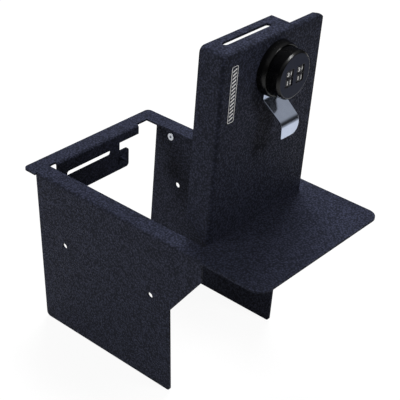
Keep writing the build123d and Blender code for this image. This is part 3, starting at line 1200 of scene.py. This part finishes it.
@dataclass
class NumberWheels(SubAssembly):
    """Four ten-sided number wheels, each with a painted number on every side."""

    joints: list[dict] = field(default_factory=list)
    sides: int = 10
    flat_height: float = 5.565
    edge_softening: float = 0.15
    digit_size: float = 4.5
    digit_weight: float = 0.13
    digit_lift: float = 0.04
    digit_steps: int = 4
    leading_digit: dict[str, int] = field(
        default_factory=lambda: {
            "upper_left": 3,
            "upper_right": 3,
            "lower_left": 1,
            "lower_right": 1,
        }
    )

    def build(self) -> None:
        """Work up each wheel and paint its numbers."""
        for corner, first in self.leading_digit.items():
            part = Part(f"wheel_{corner}")
            self.work_up(f"number_wheel_{corner}", WHEEL_ACETAL, part, self.edge_softening)
            centre = Vector(joint_named(self.joints, f"dial_{corner}")["pos_m"])
            numbers = self.number_ring(first)
            turned = self.face.matrix.to_3x3().to_4x4()
            numbers.transform(Matrix.Translation(centre) @ turned)
            finished(f"numbers_{corner}", numbers, NUMBER_PAINT, part)

    def number_ring(self, first: int) -> bpy.types.Mesh:
        """Ten digits, each flat on one side of the wheel and upright along the axle.

        Args:
            first: The digit to the left of the window's middle at rest.

        Returns:
            One mesh about the wheel's centre, in the lid's frame.
        """
        work = bmesh.new()
        step = 2 * math.pi / self.sides
        for place in range(self.sides):
            digit = self.digit_mesh(str((first + place) % self.sides))
            lifted = Matrix.Translation((0, 0, self.flat_height * MM))
            # The window's middle lies over an edge, so each side stands half a step off it.
            digit.transform(Matrix.Rotation(step * (place - 0.5), 4, "Y") @ lifted)
            work.from_mesh(digit)
            bpy.data.meshes.remove(digit)
        mesh = bpy.data.meshes.new("numbers")
        work.to_mesh(mesh)
        work.free()
        return closed_outwards(mesh)

    def digit_mesh(self, text: str) -> bpy.types.Mesh:
        """One digit, centred, with a little thickness on both sides of its plane.

        Args:
            text: The digit.

        Returns:
            Its mesh, Z out of the wheel's side.
        """
        curve = bpy.data.curves.new("digit", "FONT")
        curve.body = text
        curve.size = self.digit_size * MM
        curve.align_x = "CENTER"
        curve.align_y = "CENTER"
        curve.offset = self.digit_weight * MM
        curve.extrude = self.digit_lift * MM
        curve.resolution_u = self.digit_steps
        mesh = plain_mesh(placed("digit", curve))
        low = min(vertex.co.y for vertex in mesh.vertices)
        high = max(vertex.co.y for vertex in mesh.vertices)
        mesh.transform(Matrix.Translation((0, -(low + high) / 2, 0)))
        return mesh


# Studio


@dataclass(frozen=True)
class Lamp:
    """Soft square lamp. Its place and side are in metres and its power is in watts."""

    name: str
    place: Place
    side: float
    power: float
    shows_in_gloss: bool = True

    def hang(self, aim: Vector) -> None:
        """Put the lamp in its place and turn it to what it lights.

        Args:
            aim: The point that it faces.
        """
        data = bpy.data.lights.new(self.name, "AREA")
        data.size = self.side
        data.energy = self.power
        lamp = placed(self.name, data)
        lamp.location = self.place
        lamp.visible_glossy = self.shows_in_gloss
        lamp.rotation_mode = "QUATERNION"
        lamp.rotation_quaternion = (aim - Vector(self.place)).to_track_quat("-Z", "Y")


@dataclass
class Studio:
    """Pale floor, soft light and the camera at the photograph's angle.

    Sizes are in metres, but for the lens and its film, which are in millimetres. Metal mirrors
    one high window on the side that the lid's face looks to, a dim room round it, and the
    floor as a pool of light that falls off away from the safe.
    """

    camera_place: Place = (0.5195, -0.6211, 0.6433)
    camera_right: Place = (0.75103, 0.65891, 0.04237)
    camera_up: Place = (-0.37460, 0.37237, 0.84913)
    camera_back: Place = (0.54372, -0.65359, 0.52648)
    camera_reach: float = 20.0
    focal_length: float = 104.2
    film_width: float = 36.0
    aim: Place = (0, 0, 0.16)
    lamps: tuple[Lamp, ...] = (
        Lamp("side_softbox", (-0.6, -1.1, 0.6), side=0.4, power=8.2),
        Lamp("top_softbox", (-0.35, 0.5, 1.15), side=0.6, power=22.5, shows_in_gloss=False),
        Lamp("rim_lamp", (0.85, 0.3, 1.03), side=0.25, power=6.8),
    )
    floor_size: float = 6.0
    floor_drop: float = 0.0005
    floor_colour: str = "#989898"
    floor_seen: float = 0.93
    floor_mirrored: float = 0.54
    pool_inner: float = 0.42
    pool_outer: float = 0.9
    pool_edge: float = 0.06
    sky_colour: str = "#ffffff"
    sky_strength: float = 0.22
    dusk_height: float = 0.2
    dusk_strength: float = 0.04
    window_height: float = 0.62
    window_strength: float = 0.46
    window_left: float = -0.35
    window_right: float = 0.25

    def build(self) -> None:
        """Set the stage."""
        self.floor()
        self.sky()
        for lamp in self.lamps:
            lamp.hang(Vector(self.aim))
        self.camera()
        bpy.context.scene.view_settings.view_transform = "Standard"

    def camera(self) -> None:
        """Camera solved from the plate's and walls' edges."""
        data = bpy.data.cameras.new("camera")
        data.lens = self.focal_length
        data.sensor_width = self.film_width
        data.clip_end = self.camera_reach
        camera = placed("camera", data)
        turned = Matrix((self.camera_right, self.camera_up, self.camera_back)).transposed()
        camera.matrix_world = Matrix.Translation(self.camera_place) @ turned.to_4x4()
        bpy.context.scene.camera = camera

    def floor(self) -> None:
        """Pale floor that shows white to the eye and keeps a faint shadow."""
        half, level = self.floor_size / 2, -self.floor_drop
        mesh = bpy.data.meshes.new("floor")
        signs = ((-1, -1), (1, -1), (1, 1), (-1, 1))
        corners = [(half * across, half * along, level) for across, along in signs]
        mesh.from_pydata(corners, [], [(0, 1, 2, 3)])
        floor = placed("floor", mesh)
        made = bpy.data.materials.new("floor_card")
        made.use_nodes = True
        tree = made.node_tree
        tree.nodes.clear()
        path = add_node(tree, "ShaderNodeLightPath")
        place = add_node(tree, "ShaderNodeTexCoord")
        reach = add_node(
            tree, "ShaderNodeVectorMath", {"operation": "LENGTH"}, {"#0": place.outputs["Object"]}
        )
        pool = add_node(
            tree,
            "ShaderNodeMapRange",
            {
                "interpolation_type": "SMOOTHSTEP",
                "From Min": self.pool_inner,
                "From Max": self.pool_outer,
                "To Min": self.floor_mirrored,
                "To Max": self.pool_edge,
            },
            {"Value": reach.outputs["Value"]},
        )
        mirrored = self.mirrored(tree, path)
        seen = add_node(
            tree,
            "ShaderNodeMath",
            {"operation": "MULTIPLY_ADD"},
            {
                "#0": mirrored.outputs[0],
                "#1": pool.outputs[0],
                "#2": path.outputs["Is Camera Ray"],
            },
        )
        tone = add_node(
            tree,
            "ShaderNodeMix",
            {
                "data_type": "RGBA",
                MIX_COLOUR_LOW: to_linear(self.floor_colour),
                MIX_COLOUR_HIGH: to_linear(self.sky_colour),
            },
            {MIX_SHARE: seen.outputs[0]},
        )
        card = add_node(
            tree, "ShaderNodeBsdfDiffuse", links={"Color": tone.outputs[MIX_COLOUR_OUT]}
        )
        white = add_node(tree, "ShaderNodeEmission", {"Strength": 1.0})
        share = add_node(
            tree,
            "ShaderNodeMath",
            {"operation": "MULTIPLY", "#1": self.floor_seen},
            {"#0": seen.outputs[0]},
        )
        both = add_node(
            tree,
            "ShaderNodeMixShader",
            links={"#0": share.outputs[0], "#1": card.outputs[0], "#2": white.outputs[0]},
        )
        add_node(tree, "ShaderNodeOutputMaterial", links={"Surface": both.outputs[0]})
        mesh.materials.append(made)

    def mirrored(self, tree: bpy.types.NodeTree, path: bpy.types.Node) -> bpy.types.Node:
        """Whether a ray comes from a glossy or a clear surface.

        Args:
            tree: The tree of the floor or the room.
            path: Its light path node.

        Returns:
            A node that gives 1 for such a ray.
        """
        return add_node(
            tree,
            "ShaderNodeMath",
            {"operation": "MAXIMUM"},
            {"#0": path.outputs["Is Glossy Ray"], "#1": path.outputs["Is Transmission Ray"]},
        )

    def sky(self) -> None:
        """White room: full white to the eye, softer as light, and one high window in metal."""
        world = bpy.data.worlds.new("room")
        bpy.context.scene.world = world
        world.use_nodes = True
        tree = world.node_tree
        tree.nodes.clear()
        path = add_node(tree, "ShaderNodeLightPath")
        place = add_node(tree, "ShaderNodeTexCoord")
        direction = add_node(
            tree, "ShaderNodeSeparateXYZ", links={"#0": place.outputs["Generated"]}
        )
        pane = add_node(
            tree,
            "ShaderNodeMapRange",
            {
                "interpolation_type": "SMOOTHSTEP",
                "From Min": self.window_left,
                "From Max": self.window_right,
                "To Min": self.dusk_strength,
                "To Max": self.window_strength,
            },
            {"Value": direction.outputs["X"]},
        )
        ceiling = add_node(
            tree,
            "ShaderNodeMapRange",
            {
                "interpolation_type": "SMOOTHSTEP",
                "From Min": self.dusk_height,
                "From Max": self.window_height,
                "To Min": self.dusk_strength,
            },
            {"Value": direction.outputs["Z"], "To Max": pane.outputs[0]},
        )
        mirrored = self.mirrored(tree, path)
        light = add_node(
            tree,
            "ShaderNodeMix",
            {"data_type": "FLOAT", MIX_VALUE_LOW: self.sky_strength},
            {MIX_SHARE: mirrored.outputs[0], MIX_VALUE_HIGH: ceiling.outputs[0]},
        )
        level = add_node(
            tree,
            "ShaderNodeMix",
            {"data_type": "FLOAT", MIX_VALUE_HIGH: 1.0},
            {MIX_SHARE: path.outputs["Is Camera Ray"], MIX_VALUE_LOW: light.outputs[0]},
        )
        glow = add_node(
            tree,
            "ShaderNodeBackground",
            {"Color": to_linear(self.sky_colour)},
            {"Strength": level.outputs[0]},
        )
        add_node(tree, "ShaderNodeOutputWorld", links={"Surface": glow.outputs[0]})


def main() -> None:
    """Build the stage and every sub-assembly."""
    logging.basicConfig(level=logging.INFO, format="%(name)s %(message)s")
    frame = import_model()
    turn = joint_named(frame["joints"], "knob_turn")
    face = LidFace(Vector(turn["pos_m"]), Vector(turn["axis"]).normalized())
    shared = (frame["nodes"], face, RepeatedRow())
    Studio().build()
    for assembly in (
        ConsoleShell(*shared),
        ContinuousHinge(*shared),
        FoldedLid(*shared),
        LockSet(*shared),
        FingerPull(*shared),
        NumberWheels(*shared, joints=frame["joints"]),
    ):
        LOG.info("building %s", type(assembly).__name__)
        assembly.build()


if __name__ == "__main__":
    main()
